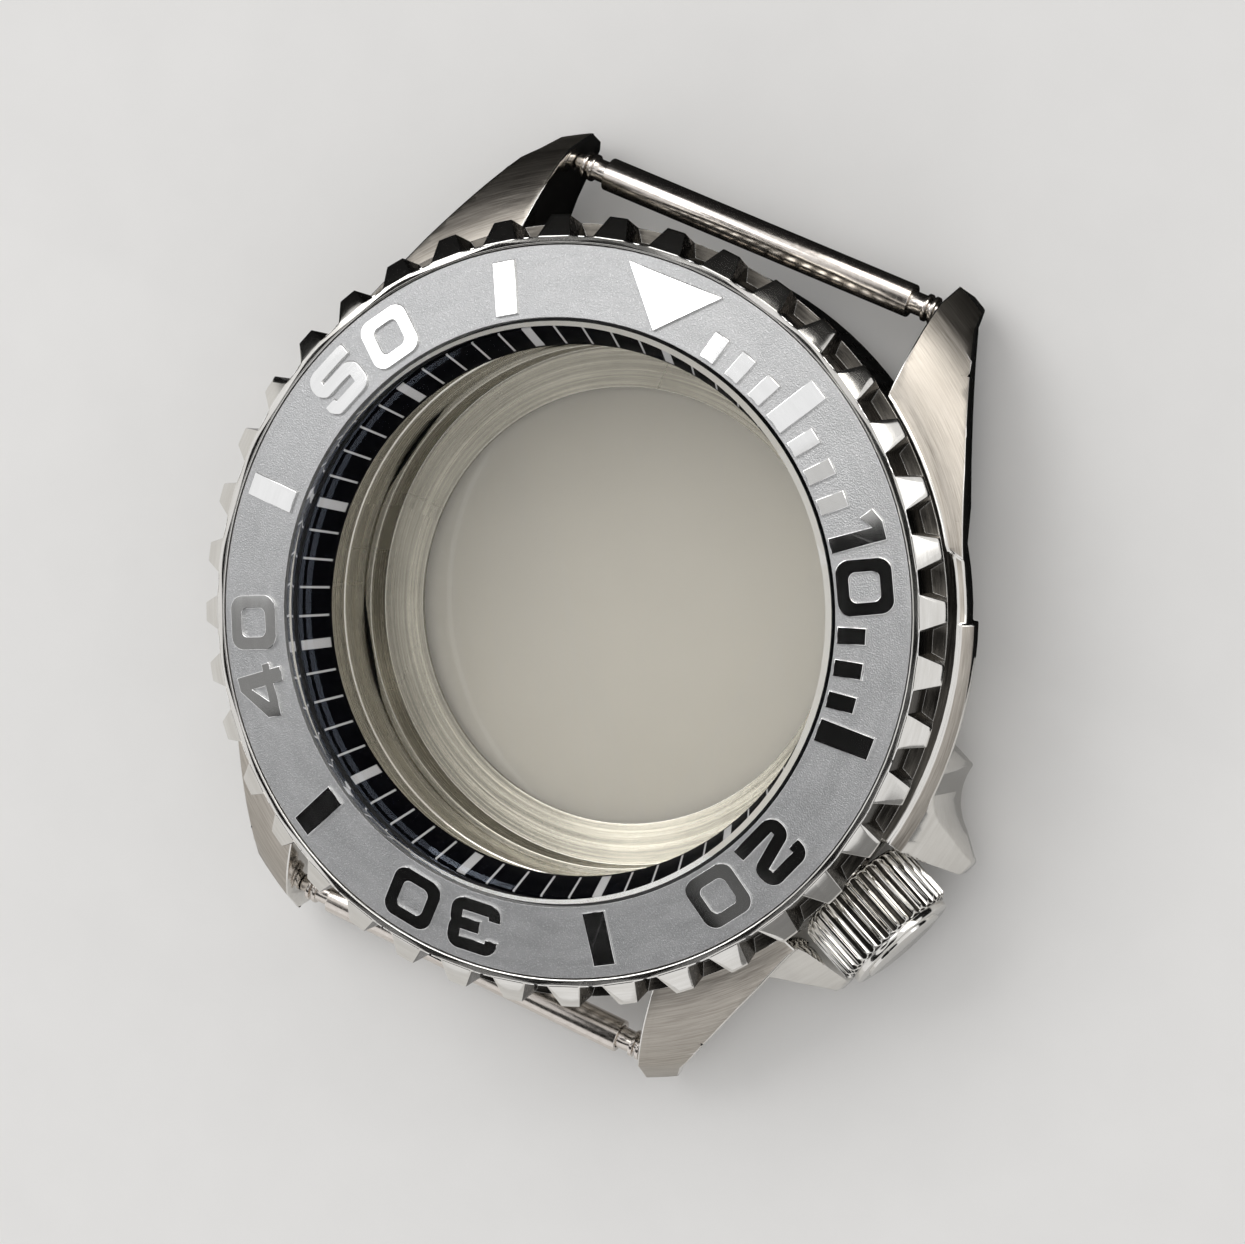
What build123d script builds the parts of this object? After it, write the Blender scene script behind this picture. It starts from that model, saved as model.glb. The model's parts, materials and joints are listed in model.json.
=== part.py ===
from build123d import *
from math import atan2, cos, degrees, radians, sin, sqrt
import os

# Empty case of a diver's watch: a steel middle with four lugs and crown guards, a turning bezel,
# a crystal, a screw-down crown, a screw-in case back with a window, and two spring bars.
# Millimetres. +X points to 3 o'clock, +Y to 12 o'clock and +Z out of the crystal.
# The origin is the middle of the case back window's outer face, where the watch rests.

os.makedirs("parts", exist_ok=True)

# Middle of the case
case_diameter = 41.4
case_height = 6.85
deck_diameter = 39.6
shoulder_drop = 0.7
shoulder_run = 0.4
shelf_drop = 0.2
shelf_run = 0.38
edge_drop = 0.2
flank_lean = 1.0
under_bevel_height = 1.5
under_bevel_run = 0.8
waist_diameter = 38.6
neck_diameter = 32.9
neck_height = 2.75
neck_chamfer = 0.15

# Bores of the middle, from the crystal down to the case back
crystal_pocket_depth = 0.7
ring_bore_depth = 1.8
movement_bore_diameter = 28.6
bore_groove_depth = 0.22
bore_groove_width = 0.3
bore_groove_height = 2.6
back_seal_diameter = 33.2
back_seal_wire = 0.56
back_seal_play = 0.04
back_seal_groove_side = 0.12

# Crystal, its gasket and the minute ring under it
crystal_diameter = 30.1
crystal_thickness = 2.3
crystal_chamfer = 0.25
gasket_wall = 0.5
gasket_foot = 0.3
gasket_foot_width = 0.58
gasket_stand = 0.15
ring_play = 0.05
ring_lip = 0.4
ring_lip_height = 0.15
ring_rim_width = 0.12

# Bezel
bezel_diameter = 41.2
bezel_foot_diameter = 39.8
bezel_gap = 0.2
bezel_bore_play = 0.05
flange_gap = 0.3
flange_thickness = 0.5
rim_width = 0.4
rim_chamfer = 0.06
grip_count = 40
grip_drop = 0.9
grip_edge = 0.14
grip_skirt_height = 1.05
notch_floor_width = 1.2
notch_spread_share = 0.46
bezel_set_angle = 0.65
click_count = 120
click_depth = 0.25
click_width = 0.4
click_track_inner = 34.7
click_track_width = 1.1

# Seal of the bezel, half in the neck and half in the bezel
bezel_seal_rise = 1.1
bezel_seal_height = 0.7
bezel_seal_depth = 0.34
bezel_seal_play = 0.04

# Click spring in its channel under the bezel
click_channel_depth = 0.55
click_channel_play = 0.15
click_spring_thickness = 0.25
click_spring_arc = 120.0
click_tongue_play = 0.04

# Insert of the bezel
insert_diameter = 38.0
insert_bore_diameter = 30.46
insert_thickness = 0.75
insert_rise = 0.79
insert_set_angle = 1.15
insert_play = 0.05
insert_sink = 0.07
adhesive_thickness = 0.06
adhesive_margin = 0.35

# Raised marks on the insert
mark_relief = 0.17
mark_margin = 0.32
mark_length = 2.85
mark_shift = 0.17
mark_shift_angle = 210.0
long_bar_width = 1.22
short_bar_length = 1.45
short_bar_width = 0.88
triangle_width = 5.46
digit_width = 2.9
digit_stroke = 0.72
digit_corner = 0.36
digit_turn = 6.3
ten_turn = 3.5
hole_width = 1.5
hole_length = 1.5
minute_count = 60

# Lugs
lug_span = 45.7
lug_gap = 22.0
lug_tip_width = 2.75
lug_side_bow = 0.15
lug_side_angle = 30.0
lug_root_inset = 1.6
lug_crest_reach = 14.0
lug_root_reach = 8.4
lug_root_drop = 1.05
lug_crown_diameter = 35.0
lug_brow_inset = 0.9
lug_brow_drop = 3.15
lug_facet_drop = 2.3
lug_tip_height = 1.6
lug_foot_height = 0.9
lug_foot_run = 0.8
lug_heel_inset = 3.6

# Spring bars
bar_inset = 1.65
bar_height = 3.55
bar_tube_diameter = 1.8
bar_bore_diameter = 1.44
bar_lip_length = 0.3
pin_shaft_diameter = 1.2
pin_play = 0.04
pin_head_length = 0.55
pin_flange_diameter = 1.5
pin_flange_width = 0.2
pin_lug_gap = 0.5
pin_waist_diameter = 0.9
pin_travel = 0.8
pin_tip_diameter = 0.8
pin_tip_length = 0.75
pin_tip_chamfer = 0.1
lug_hole_play = 0.05
lug_hole_extra = 0.3
bar_spring_diameter = 1.2
bar_spring_bore = 0.7

# Crown, square to the flank just below 3 o'clock
crown_angle = -24.0
crown_diameter = 6.8
crown_clearance = 0.05
crown_grip_length = 3.7
crown_end_chamfer = 0.36
crown_cap_diameter = 6.1
crown_cap_length = 0.3
crown_disc_diameter = 4.7
crown_disc_length = 0.15
crown_wall = 0.4
flute_count = 36
flute_diameter = 0.56
recess_inset = 0.15
recess_play = 0.35
crown_gap = 0.25

# Crown guards, on a base that stands out from the flank
guard_base_diameter = 42.0
guard_base_half_angle = 45.0
guard_bevel_drop = 0.55
guard_bevel_run = 0.65
guard_setback = 0.5
guard_width = 2.1
guard_tip_width = 1.0
guard_tip_corner = 0.3
guard_tip_opening = 0.45
guard_root_spread = 2.6
guard_hollow = 0.5
guard_root_reach = 17.0
guard_low_height = 1.65
guard_top_slope_share = 1.65
guard_low_slope_share = 0.04

# Crown tube, sleeve, core and their seals
tube_bore_diameter = 2.0
tube_wall = 0.25
tube_thread_diameter = 3.0
tube_thread_length = 1.95
thread_play = 0.06
sleeve_diameter = 4.6
sleeve_lip_length = 0.25
core_play = 0.05
core_head_diameter = 2.5
core_head_length = 0.4
core_head_play = 0.05
crown_spring_wall = 0.35
crown_washer_thickness = 0.2
core_seal_groove = 0.26
core_seal_width = 0.5
core_seal_play = 0.02
core_seal_reaches = (16.2, 17.6)
stem_socket_diameter = 0.9
stem_socket_depth = 3.0
stem_point_depth = 0.25
stem_point_angle = 50.0

# Case back
back_flange_diameter = 36.4
back_flange_height = 1.5
back_flange_chamfer = 0.35
back_thread_diameter = 31.1
back_collar_height = 1.6
back_collar_wall = 1.5
back_floor_height = 1.2
back_lip_height = 0.3
back_window_diameter = 23.5
back_lip_overlap = 0.55
back_glass_gasket_wall = 0.3
back_thread_play = 0.05
back_collar_play = 0.25
key_notch_count = 6
key_notch_width = 2.2
key_notch_depth = 0.7
key_notch_length = 1.1

# One overrun for every cut
overrun = 1.0

# Heights of the stack
case_floor = back_flange_height
deck = case_floor + case_height
neck_top = deck + neck_height
crystal_ledge = neck_top - crystal_pocket_depth
crystal_bottom = crystal_ledge + gasket_foot
crystal_top = crystal_bottom + crystal_thickness
ring_seat = crystal_ledge - ring_bore_depth
collar_top = case_floor + back_collar_height
thread_top = collar_top + back_collar_play
bezel_bottom = deck + bezel_gap
flange_bottom = neck_top + flange_gap
case_crease = deck - shoulder_drop - shelf_drop - edge_drop
insert_seat = flange_bottom + flange_thickness
insert_inner_top = insert_seat + adhesive_thickness + insert_thickness
insert_outer_top = insert_inner_top - insert_rise
rim_top = insert_outer_top + insert_sink
grip_floor = bezel_bottom + grip_skirt_height
grip_tip = rim_top - grip_drop

# Radii that several pieces share
case_radius = case_diameter / 2
guard_radius = guard_base_diameter / 2
deck_radius = deck_diameter / 2
neck_radius = neck_diameter / 2
movement_radius = movement_bore_diameter / 2
crystal_radius = crystal_diameter / 2
gasket_radius = crystal_radius + gasket_wall
foot_radius = gasket_radius - gasket_foot_width
bezel_radius = bezel_diameter / 2
bezel_foot_radius = bezel_foot_diameter / 2
bezel_bore = neck_radius + bezel_bore_play
insert_radius = insert_diameter / 2
insert_bore = insert_bore_diameter / 2
insert_slope = insert_rise / (insert_radius - insert_bore)
recess_radius = insert_radius + insert_play
rim_radius = recess_radius + rim_width
click_inner = click_track_inner / 2
click_outer = click_inner + click_track_width
lug_face = lug_gap / 2
bar_half = lug_face - pin_lug_gap - 3 * pin_flange_width - pin_travel
bar_reach = lug_span / 2 - bar_inset
crown_radius = crown_diameter / 2
crown_height = deck - crown_clearance - crown_radius
recess_reach = deck_radius - recess_inset
crown_base = recess_reach + crown_gap
grip_end = crown_base + crown_grip_length
guard_reach = grip_end - guard_setback
tube_radius = tube_bore_diameter / 2 + tube_wall
thread_radius = tube_thread_diameter / 2
tube_end = recess_reach + tube_thread_length
washer_end = tube_end + crown_washer_thickness
sleeve_end = washer_end + sleeve_lip_length
head_end = sleeve_end + core_head_length
core_radius = tube_bore_diameter / 2 - core_play
head_radius = core_head_diameter / 2
chamber_radius = head_radius + core_head_play
chamber_end = grip_end + crown_cap_length - crown_wall
back_collar_radius = back_thread_diameter / 2 - back_thread_play
window_radius = back_window_diameter / 2
back_glass_radius = window_radius + back_lip_overlap
back_glass_bore = back_glass_radius + back_glass_gasket_wall
back_glass_thickness = back_floor_height - back_lip_height


def insert_height(radius):
    """Height of the insert's sloping top at a radius."""
    return insert_outer_top + (insert_radius - radius) * insert_slope


def turned(angle):
    """Unit vector at an angle from 3 o'clock, counter-clockwise."""
    return Vector(cos(radians(angle)), sin(radians(angle)), 0)


def crown_plane(reach):
    """Plane square to the crown's axis, this far from the middle of the case."""
    out = turned(crown_angle)
    spot = out * reach + Vector(0, 0, crown_height)
    return Plane(origin=spot, x_dir=turned(crown_angle + 90), z_dir=out)


def guard_plane(height):
    """Level plane whose X runs out along the crown's axis."""
    return Plane(origin=(0, 0, height), x_dir=turned(crown_angle), z_dir=(0, 0, 1))


# Lug at 1 o'clock: its plan at the flank's widest level, leaning in below it like the flank,
# then cut by its side profile and by a domed top that is turned about the middle of the case
under_bevel_top = case_floor + under_bevel_height
flank_angle = degrees(atan2(flank_lean, case_crease - under_bevel_top))
lug_tip_y = lug_span / 2
lug_end_y = lug_tip_y + overrun
lug_tip_radius = sqrt(lug_face ** 2 + lug_tip_y ** 2)
lug_tip_x = lug_face + lug_tip_width
lug_corner_reach = sqrt(lug_tip_radius ** 2 - lug_tip_x ** 2)
lug_heel_reach = lug_tip_y - lug_heel_inset
lug_foot_reach = lug_tip_y - lug_foot_run
lug_side_end = turned(lug_side_angle) * case_radius
lug_inner_x = lug_face - lug_root_inset
lug_inner_y = lug_crest_reach - lug_root_inset
root_run = lug_crest_reach - lug_root_reach
root_radius = (root_run ** 2 + lug_root_drop ** 2) / (2 * lug_root_drop)
lug_crown_radius = lug_crown_diameter / 2
lug_brow_reach = lug_tip_radius - lug_brow_inset
brow_height = deck - lug_brow_drop
brow_run = lug_brow_reach - lug_crown_radius
brow_radius = (brow_run ** 2 + lug_brow_drop ** 2) / (2 * lug_brow_drop)
facet_end_height = brow_height - lug_facet_drop

with BuildPart() as lug:
    with BuildSketch(Plane.XY.offset(case_crease)):
        with BuildLine():
            Line((lug_inner_x, lug_inner_y), (lug_inner_x, lug_end_y))
            Line((lug_inner_x, lug_end_y), (lug_tip_x, lug_end_y))
            Line((lug_tip_x, lug_end_y), (lug_tip_x, lug_corner_reach))
            SagittaArc((lug_tip_x, lug_corner_reach), (lug_side_end.X, lug_side_end.Y), -lug_side_bow)
            Line((lug_side_end.X, lug_side_end.Y), (lug_inner_x, lug_inner_y))
        make_face()
    lug_plan = lug.pending_faces[0]
    extrude(amount=deck - case_crease)
    extrude(lug_plan, amount=-case_crease, taper=flank_angle)
    with BuildSketch(Plane.YZ):
        with BuildLine():
            Line((lug_root_reach, case_floor), (lug_root_reach, deck - lug_root_drop))
            RadiusArc((lug_root_reach, deck - lug_root_drop), (lug_crest_reach, deck), root_radius)
            Line((lug_crest_reach, deck), (lug_end_y, deck))
            Line((lug_end_y, deck), (lug_end_y, lug_foot_height))
            Line((lug_end_y, lug_foot_height), (lug_foot_reach, lug_foot_height))
            Line((lug_foot_reach, lug_foot_height), (lug_heel_reach, case_floor))
            Line((lug_heel_reach, case_floor), (lug_root_reach, case_floor))
        make_face()
    extrude(amount=case_radius, mode=Mode.INTERSECT)
    with BuildSketch(Plane.XZ):
        with BuildLine():
            Line((lug_root_reach, 0), (lug_root_reach, deck))
            Line((lug_root_reach, deck), (lug_crown_radius, deck))
            RadiusArc((lug_crown_radius, deck), (lug_brow_reach, brow_height), brow_radius)
            Line((lug_brow_reach, brow_height), (lug_tip_radius, facet_end_height))
            Line((lug_tip_radius, facet_end_height), (lug_tip_radius, lug_tip_height))
            Line((lug_tip_radius, lug_tip_height), (lug_tip_radius - lug_foot_run, lug_foot_height))
            Line((lug_tip_radius - lug_foot_run, lug_foot_height), (lug_tip_radius - lug_foot_run, 0))
            Line((lug_tip_radius - lug_foot_run, 0), (lug_root_reach, 0))
        make_face()
    revolve(axis=Axis.Z, mode=Mode.INTERSECT)

# Crown guard on the 3 o'clock side: its plan, cut by sloping faces above and below
recess_half = crown_radius + recess_play
guard_outer = recess_half + guard_width
guard_root = guard_outer + guard_root_spread
guard_root_along = sqrt(guard_radius ** 2 - guard_root ** 2)
guard_turn_along = sqrt(guard_radius ** 2 - guard_outer ** 2) + guard_root_spread / 2
guard_tip_inner = recess_half + guard_tip_opening
guard_tip_outer = guard_tip_inner + guard_tip_width
guard_tip_radius = sqrt(guard_reach ** 2 + guard_tip_outer ** 2)
guard_span = guard_tip_radius - guard_radius
guard_top = deck - shoulder_drop - guard_bevel_drop
guard_tip_top = guard_top - guard_span * guard_top_slope_share
guard_tip_low = guard_low_height + guard_span * guard_low_slope_share
guard_corner = guard_tip_radius + overrun

with BuildPart() as guard:
    with BuildSketch(guard_plane(guard_low_height)):
        with BuildLine():
            Line((guard_root_reach, 0), (guard_root_reach, guard_root))
            Line((guard_root_reach, guard_root), (guard_root_along, guard_root))
            SagittaArc((guard_root_along, guard_root), (guard_turn_along, guard_outer), -guard_hollow)
            Line((guard_turn_along, guard_outer), (guard_reach - guard_tip_corner, guard_tip_outer))
            RadiusArc(
                (guard_reach - guard_tip_corner, guard_tip_outer),
                (guard_reach, guard_tip_outer - guard_tip_corner),
                guard_tip_corner,
            )
            Line((guard_reach, guard_tip_outer - guard_tip_corner), (guard_reach, 0))
            Line((guard_reach, 0), (guard_root_reach, 0))
        make_face()
    extrude(amount=deck - guard_low_height)
    with BuildSketch(Plane.XZ):
        Polygon(
            (guard_root_reach - overrun, guard_low_height),
            (guard_radius, guard_low_height),
            (guard_tip_radius, guard_tip_low),
            (guard_corner, guard_tip_low),
            (guard_corner, guard_tip_top),
            (guard_tip_radius, guard_tip_top),
            (guard_radius, guard_top),
            (guard_root_reach - overrun, guard_top),
            align=None,
        )
    revolve(axis=Axis.Z, mode=Mode.INTERSECT)

# Base of the guards: a sector with a wide bevel above the leaning flank
guard_base_start = turned(crown_angle - guard_base_half_angle)
guard_base_side = guard_base_start.cross(Vector(0, 0, 1))
guard_base_plane = Plane(origin=(0, 0, 0), x_dir=guard_base_start, z_dir=guard_base_side)
guard_bevel_top = guard_top + guard_bevel_drop

with BuildPart() as guard_base:
    with BuildSketch(guard_base_plane):
        Polygon(
            (guard_root_reach, under_bevel_top),
            (guard_radius - flank_lean, under_bevel_top),
            (guard_radius, guard_top),
            (guard_radius - guard_bevel_run, guard_bevel_top),
            (guard_root_reach, guard_bevel_top),
            align=None,
        )
    revolve(axis=Axis.Z, revolution_arc=2 * guard_base_half_angle)

# Middle of the case
seal_groove_inner = neck_radius - bezel_seal_depth
seal_low = deck + bezel_seal_rise
seal_high = seal_low + bezel_seal_height
ring_bore = foot_radius
groove_low = thread_top + bore_groove_height
groove_high = groove_low + bore_groove_width
back_seal_radius = back_seal_diameter / 2
back_seal_half = back_seal_wire / 2
back_seal_groove_half = back_seal_half + back_seal_groove_side
back_seal_groove_depth = back_seal_wire + back_seal_play
under_bevel_radius = case_radius - flank_lean
shelf_radius = deck_radius + shoulder_run + shelf_run
channel_inner = click_inner - click_channel_play
channel_outer = click_outer + click_channel_play
recess_end = guard_reach + overrun
crown_mirror = Plane(origin=(0, 0, 0), x_dir=turned(crown_angle), z_dir=turned(crown_angle + 90))

with BuildPart() as mid_case:
    with BuildSketch(Plane.XZ):
        Polygon(
            (back_thread_diameter / 2, case_floor),
            (under_bevel_radius - under_bevel_run, case_floor),
            (under_bevel_radius, under_bevel_top),
            (case_radius, case_crease),
            (shelf_radius, deck - shoulder_drop - shelf_drop),
            (deck_radius + shoulder_run, deck - shoulder_drop),
            (deck_radius, deck),
            (neck_radius, deck),
            (neck_radius, seal_low),
            (seal_groove_inner, seal_low),
            (seal_groove_inner, seal_high),
            (neck_radius, seal_high),
            (neck_radius, neck_top - neck_chamfer),
            (neck_radius - neck_chamfer, neck_top),
            (gasket_radius, neck_top),
            (gasket_radius, crystal_ledge),
            (ring_bore, crystal_ledge),
            (ring_bore, ring_seat),
            (movement_radius, ring_seat),
            (movement_radius, groove_high),
            (movement_radius + bore_groove_depth, groove_high),
            (movement_radius + bore_groove_depth, groove_low),
            (movement_radius, groove_low),
            (movement_radius, thread_top),
            (back_thread_diameter / 2, thread_top),
            align=None,
        )
    revolve(axis=Axis.Z)
    # Four lugs and two crown guards
    add(lug.part)
    add(lug.part.mirror(Plane.YZ))
    add(lug.part.mirror(Plane.XZ))
    add(lug.part.mirror(Plane.XZ).mirror(Plane.YZ))
    add(guard_base.part)
    add(guard.part)
    add(guard.part.mirror(crown_mirror))
    # Waist between the lugs
    with BuildSketch():
        Rectangle(lug_gap, lug_span + overrun)
        Circle(waist_diameter / 2, mode=Mode.SUBTRACT)
    extrude(amount=deck + overrun, mode=Mode.SUBTRACT)
    # Recess for the crown, opening towards the guards' tips
    with BuildSketch(guard_plane(0)):
        Polygon(
            (recess_reach, -recess_half),
            (guard_radius, -recess_half),
            (guard_reach, -guard_tip_inner),
            (recess_end, -guard_tip_inner),
            (recess_end, guard_tip_inner),
            (guard_reach, guard_tip_inner),
            (guard_radius, recess_half),
            (recess_reach, recess_half),
            align=None,
        )
    extrude(amount=deck + overrun, mode=Mode.SUBTRACT)
    # Hole for the crown tube
    with BuildSketch(crown_plane(movement_radius - overrun)):
        Circle(tube_radius)
    extrude(amount=recess_reach - movement_radius + 2 * overrun, mode=Mode.SUBTRACT)
    # Channel for the click spring
    with BuildSketch(Plane.XY.offset(deck - click_channel_depth)):
        Circle(channel_outer)
        Circle(channel_inner, mode=Mode.SUBTRACT)
    extrude(amount=click_channel_depth, mode=Mode.SUBTRACT)
    # Groove for the case back's seal
    with BuildSketch(Plane.XY.offset(case_floor)):
        Circle(back_seal_radius + back_seal_groove_half)
        Circle(back_seal_radius - back_seal_groove_half, mode=Mode.SUBTRACT)
    extrude(amount=back_seal_groove_depth, mode=Mode.SUBTRACT)
    # Blind holes for the spring bars' tips
    lug_hole_depth = pin_tip_length + lug_hole_extra
    for side in (-1, 1):
        for end in (-1, 1):
            hole_mouth = (side * lug_face, end * bar_reach, bar_height)
            with BuildSketch(Plane(origin=hole_mouth, z_dir=(side, 0, 0))):
                Circle(pin_tip_diameter / 2 + lug_hole_play)
            extrude(amount=lug_hole_depth, mode=Mode.SUBTRACT)
mid_case.part.label = "mid_case"
export_step(mid_case.part, "parts/mid_case.step")

# Crystal, flat, with a bevelled edge
with BuildPart() as crystal:
    with BuildSketch(Plane.XZ):
        Polygon(
            (0, crystal_bottom),
            (crystal_radius, crystal_bottom),
            (crystal_radius, crystal_top - crystal_chamfer),
            (crystal_radius - crystal_chamfer, crystal_top),
            (0, crystal_top),
            align=None,
        )
    revolve(axis=Axis.Z)
crystal.part.label = "crystal"
export_step(crystal.part, "parts/crystal.step")

# Crystal gasket: a wall round the crystal and a foot under it
with BuildPart() as crystal_gasket:
    with BuildSketch(Plane.XZ):
        Polygon(
            (foot_radius, crystal_ledge),
            (gasket_radius, crystal_ledge),
            (gasket_radius, neck_top + gasket_stand),
            (crystal_radius, neck_top + gasket_stand),
            (crystal_radius, crystal_bottom),
            (foot_radius, crystal_bottom),
            align=None,
        )
    revolve(axis=Axis.Z)
crystal_gasket.part.label = "crystal_gasket"
export_step(crystal_gasket.part, "parts/crystal_gasket.step")

# Minute ring: a cone between the crystal and the movement bore
ring_radius = ring_bore - ring_play
ring_top = crystal_bottom - ring_play
ring_lip_radius = movement_radius - ring_lip

with BuildPart() as chapter_ring:
    with BuildSketch(Plane.XZ):
        Polygon(
            (ring_lip_radius, ring_seat),
            (ring_radius, ring_seat),
            (ring_radius, ring_top),
            (ring_radius - ring_rim_width, ring_top),
            (ring_lip_radius, ring_seat + ring_lip_height),
            align=None,
        )
    revolve(axis=Axis.Z)
chapter_ring.part.label = "chapter_ring"
export_step(chapter_ring.part, "parts/chapter_ring.step")

# Bezel: a flange over the neck, a recess for the insert and a notched grip
seal_groove_outer = bezel_bore + bezel_seal_depth
seat_bore = gasket_radius - (gasket_wall - adhesive_margin) / 2
seat_rim = insert_height(recess_radius) - insert_thickness - adhesive_thickness
seat_edge = insert_height(seat_bore) - insert_thickness - adhesive_thickness
notch_floor_reach = rim_radius
notch_end_reach = bezel_radius + overrun
notch_floor_half = notch_floor_width / 2
notch_end_half = notch_floor_half + (notch_end_reach - notch_floor_reach) * notch_spread_share
track_middle = (click_inner + click_outer) / 2

with BuildPart() as bezel:
    with BuildSketch(Plane.XZ):
        Polygon(
            (bezel_bore, bezel_bottom),
            (bezel_foot_radius, bezel_bottom),
            (bezel_radius, grip_tip - grip_edge),
            (bezel_radius - grip_edge, grip_tip),
            (rim_radius, rim_top),
            (recess_radius + rim_chamfer, rim_top),
            (recess_radius, rim_top - rim_chamfer),
            (recess_radius, seat_rim),
            (seat_bore, seat_edge),
            (seat_bore, flange_bottom),
            (bezel_bore, flange_bottom),
            (bezel_bore, seal_high),
            (seal_groove_outer, seal_high),
            (seal_groove_outer, seal_low),
            (bezel_bore, seal_low),
            align=None,
        )
    revolve(axis=Axis.Z)
    # Grip notches, one of them in line with 12 o'clock on the insert
    with BuildSketch(Plane.XY.offset(grip_floor)):
        with PolarLocations(0, grip_count, start_angle=90 + bezel_set_angle):
            Polygon(
                (notch_floor_reach, -notch_floor_half),
                (notch_end_reach, -notch_end_half),
                (notch_end_reach, notch_end_half),
                (notch_floor_reach, notch_floor_half),
                align=None,
            )
    extrude(amount=rim_top - grip_floor, mode=Mode.SUBTRACT)
    # Click notches in the underside
    with BuildSketch(Plane.XY.offset(bezel_bottom)):
        with PolarLocations(track_middle, click_count, start_angle=90 + bezel_set_angle):
            Rectangle(click_track_width, click_width)
    extrude(amount=click_depth, mode=Mode.SUBTRACT)
bezel.part.label = "bezel"
export_step(bezel.part, "parts/bezel.step")

# Adhesive ring under the insert
glue_inner = seat_bore + adhesive_margin
glue_outer = insert_radius - adhesive_margin

with BuildPart() as insert_adhesive:
    with BuildSketch(Plane.XZ):
        Polygon(
            (glue_inner, insert_height(glue_inner) - insert_thickness - adhesive_thickness),
            (glue_outer, insert_height(glue_outer) - insert_thickness - adhesive_thickness),
            (glue_outer, insert_height(glue_outer) - insert_thickness),
            (glue_inner, insert_height(glue_inner) - insert_thickness),
            align=None,
        )
    revolve(axis=Axis.Z)
insert_adhesive.part.label = "insert_adhesive"
export_step(insert_adhesive.part, "parts/insert_adhesive.step")

# Block digits on a unit grid: strokes for the rounded ones, outlines for the straight ones
stroke_shares = {
    "2": [[(0.0, 0.7), (0.0, 1.0), (1.0, 1.0), (1.0, 0.6), (0.0, 0.36), (0.0, 0.0), (1.15, 0.0)]],
    "3": [
        [(0.0, 0.74), (0.0, 1.0), (1.0, 1.0), (1.0, 0.5), (0.35, 0.5)],
        [(0.35, 0.5), (1.0, 0.5), (1.0, 0.0), (0.0, 0.0), (0.0, 0.26)],
    ],
    "5": [[(1.15, 1.0), (0.0, 1.0), (0.0, 0.57), (1.0, 0.57), (1.0, 0.0), (0.0, 0.0), (0.0, 0.26)]],
}
outline_shares = {
    "1": [(0.52, 0), (0.8, 0), (0.8, 1), (0.45, 1), (0.2, 0.88), (0.31, 0.62), (0.52, 0.78)],
    "4": [
        (0.6, 0), (0.88, 0), (0.88, 0.22), (1, 0.22), (1, 0.4), (0.88, 0.4), (0.88, 1), (0.62, 1),
        (0.02, 0.52), (0, 0.22), (0.6, 0.22),
    ],
}
counter_shares = [(0.6, 0.42), (0.6, 0.72), (0.32, 0.42)]
grid_width = digit_width - digit_stroke
grid_length = mark_length - digit_stroke
digit_sketches = {}
for digit, strokes in stroke_shares.items():
    with BuildSketch() as digit_sketch:
        for stroke in strokes:
            spots = [((u - 0.5) * grid_width, (v - 0.5) * grid_length) for u, v in stroke]
            with BuildLine():
                FilletPolyline(*spots, radius=digit_corner)
            trace(line_width=digit_stroke)
    digit_sketches[digit] = digit_sketch.sketch
for digit, outline in outline_shares.items():
    with BuildSketch() as digit_sketch:
        Polygon(*[((u - 0.5) * digit_width, (v - 0.5) * mark_length) for u, v in outline], align=None)
        if digit == "4":
            counter = [((u - 0.5) * digit_width, (v - 0.5) * mark_length) for u, v in counter_shares]
            Polygon(*counter, align=None, mode=Mode.SUBTRACT)
    digit_sketches[digit] = digit_sketch.sketch
with BuildSketch() as digit_sketch:
    RectangleRounded(digit_width, mark_length, digit_corner + digit_stroke / 2)
    RectangleRounded(hole_width, hole_length, digit_corner, mode=Mode.SUBTRACT)
digit_sketches["0"] = digit_sketch.sketch

# Raised marks: bars, a triangle at 12 and plain tens, set a little off the insert's centre
mark_inner = insert_bore + mark_margin
mark_middle = mark_inner + mark_length / 2
mark_outer = mark_inner + mark_length
short_middle = mark_inner + short_bar_length / 2
mark_floor = insert_outer_top - insert_thickness
mark_ceiling = insert_inner_top + overrun
minute_angle = 360 / minute_count
bar_minutes = (5, 15, 25, 35, 45, 55)
short_minutes = (2, 3, 4, 6, 7, 8, 12, 13, 14)
ten_leans = {10: ten_turn, 20: digit_turn, 30: digit_turn, 40: digit_turn, 50: digit_turn}


def mark_spot(turn, reach):
    """Place on the insert, this many degrees clockwise from its 12 o'clock, with +Y outwards."""
    angle = 90 + insert_set_angle - turn
    spot = turned(angle) * reach + turned(mark_shift_angle) * mark_shift
    return Location((spot.X, spot.Y, 0), (0, 0, angle - 90))


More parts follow.
